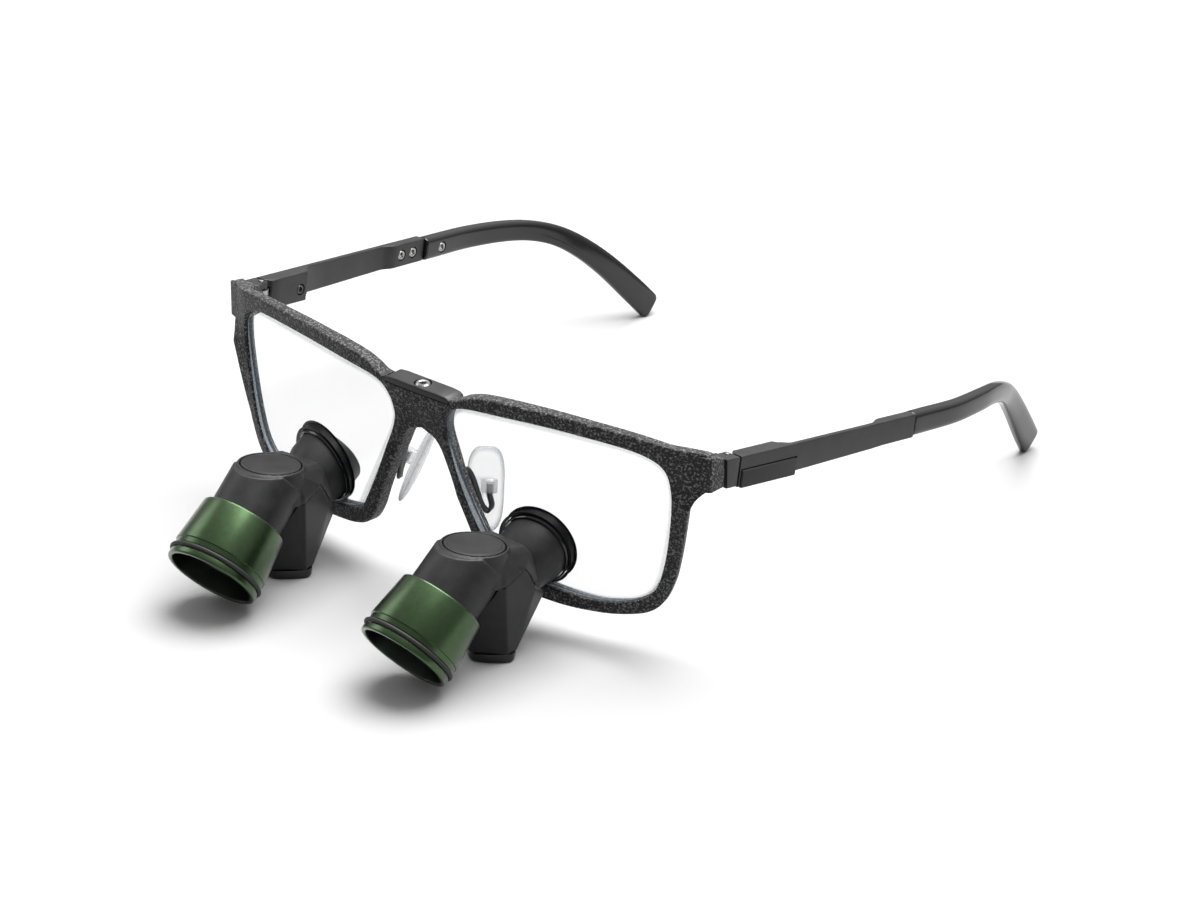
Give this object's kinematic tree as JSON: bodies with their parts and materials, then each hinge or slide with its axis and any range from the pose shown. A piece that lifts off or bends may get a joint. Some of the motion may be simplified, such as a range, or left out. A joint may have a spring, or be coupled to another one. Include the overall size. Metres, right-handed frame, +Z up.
{
  "type": "dental loupes",
  "caption": "Magnifying loupes: prism telescopes fixed through the carrier lenses of a wrapped black spectacle frame with folding temples and clear rocking nose pads.",
  "frame": {"origin": "centre of the bounding box at the table that the bottom covers and temple tips rest on", "axes": "+X to the wearer's left, -Y the way the wearer looks, +Z up from the table"},
  "size_m": [0.1466, 0.1878, 0.0528],
  "materials": {
    "sintered_nylon": "laser-sintered nylon, matte black with a fine speckle",
    "satin_black": "satin black moulded polymer",
    "matte_polymer": "matte black moulded polymer",
    "gloss_black": "polished black acetate",
    "rubber": "matte black rubber",
    "green_anodised": "satin green anodised aluminium",
    "steel": "bright steel",
    "glass": "clear coated optical glass",
    "clear_silicone": "clear silicone"
  },
  "bodies": {
    "front": {"frame_front": "sintered_nylon", "bridge_plate": "satin_black", "bridge_screw": "steel", "carrier_lens_left": "glass", "carrier_lens_right": "glass", "eyepiece_collar_left": "gloss_black", "eyepiece_collar_right": "gloss_black", "objective_sleeve_left": "green_anodised", "objective_sleeve_right": "green_anodised", "o_ring_left": "rubber", "o_ring_right": "rubber", "retaining_ring_left": "satin_black", "retaining_ring_right": "satin_black", "objective_lens_left": "glass", "objective_lens_right": "glass", "prism_housing_left": "matte_polymer", "prism_housing_right": "matte_polymer", "lower_housing_left": "matte_polymer", "lower_housing_right": "matte_polymer", "prism_left": "glass", "prism_right": "glass", "top_cap_left": "matte_polymer", "top_cap_right": "matte_polymer", "bottom_cover_left": "gloss_black", "bottom_cover_right": "gloss_black", "eyepiece_tube_left": "matte_polymer", "eyepiece_tube_right": "matte_polymer", "eyepiece_lens_left": "glass", "eyepiece_lens_right": "glass", "nose_pad_arm_left": "gloss_black", "nose_pad_arm_right": "gloss_black", "hinge_block_left": "satin_black", "hinge_block_right": "satin_black"},
    "temple_left": {"hinge_pin_left": "steel", "hinge_tongue_left": "steel", "temple_arm_left": "satin_black", "badge_insert_left": "rubber", "block_screw_left": "steel", "core_screw_front_left": "steel", "core_screw_rear_left": "steel", "temple_core_left": "steel", "temple_tip_left": "gloss_black", "tip_screw_left": "steel"},
    "pad_left": {"nose_pad_left": "clear_silicone"},
    "temple_right": {"hinge_pin_right": "steel", "hinge_tongue_right": "steel", "temple_arm_right": "satin_black", "badge_insert_right": "rubber", "block_screw_right": "steel", "core_screw_front_right": "steel", "core_screw_rear_right": "steel", "temple_core_right": "steel", "temple_tip_right": "gloss_black", "tip_screw_right": "steel"},
    "pad_right": {"nose_pad_right": "clear_silicone"}
  },
  "joints": [
    {"name": "temple_left_fold", "type": "hinge", "parent": "front", "child": "temple_left", "pos_m": [0.0672, -0.02894, 0.0466], "axis": [0.0087, 0.1679, 0.9858], "range_deg": [0, 85]},
    {"name": "temple_right_fold", "type": "hinge", "parent": "front", "child": "temple_right", "pos_m": [-0.0672, -0.02894, 0.0466], "axis": [0.0087, -0.1679, -0.9858], "range_deg": [0, 76]},
    {"name": "nose_pad_left_rock", "type": "hinge", "parent": "front", "child": "pad_left", "pos_m": [0.012, -0.04184, 0.0262], "axis": [-0.2382, 0.3475, 0.9069], "range_deg": [-8, 8]},
    {"name": "nose_pad_right_rock", "type": "hinge", "parent": "front", "child": "pad_right", "pos_m": [-0.012, -0.04184, 0.0262], "axis": [0.2382, 0.3475, 0.9069], "range_deg": [-8, 8]}
  ]
}
